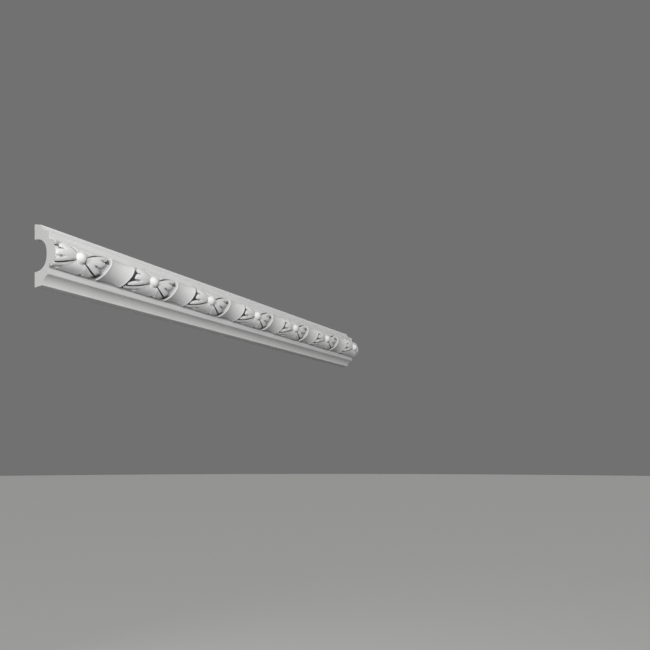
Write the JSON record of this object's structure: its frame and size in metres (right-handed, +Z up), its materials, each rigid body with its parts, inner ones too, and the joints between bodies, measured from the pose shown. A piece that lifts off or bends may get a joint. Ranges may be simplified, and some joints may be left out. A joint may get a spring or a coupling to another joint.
{
  "type": "panel moulding",
  "caption": "Straight length of wall panel moulding with a hollowed back, coved edges and a half-round roll carved with leaning flowers and plain waisted collars.",
  "frame": {"origin": "on the flat strip of the back above the channel, at the middle of the length, 7 mm below the top edge", "axes": "+X along the length, to the right seen from the front; +Z up the wall; +Y into the wall, so the carved front faces -Y"},
  "size_m": [0.623, 0.0365, 0.06],
  "materials": {
    "primed_white": "matte, factory primed white"
  },
  "bodies": {
    "root": {"panel_moulding": "primed_white"}
  },
  "joints": []
}
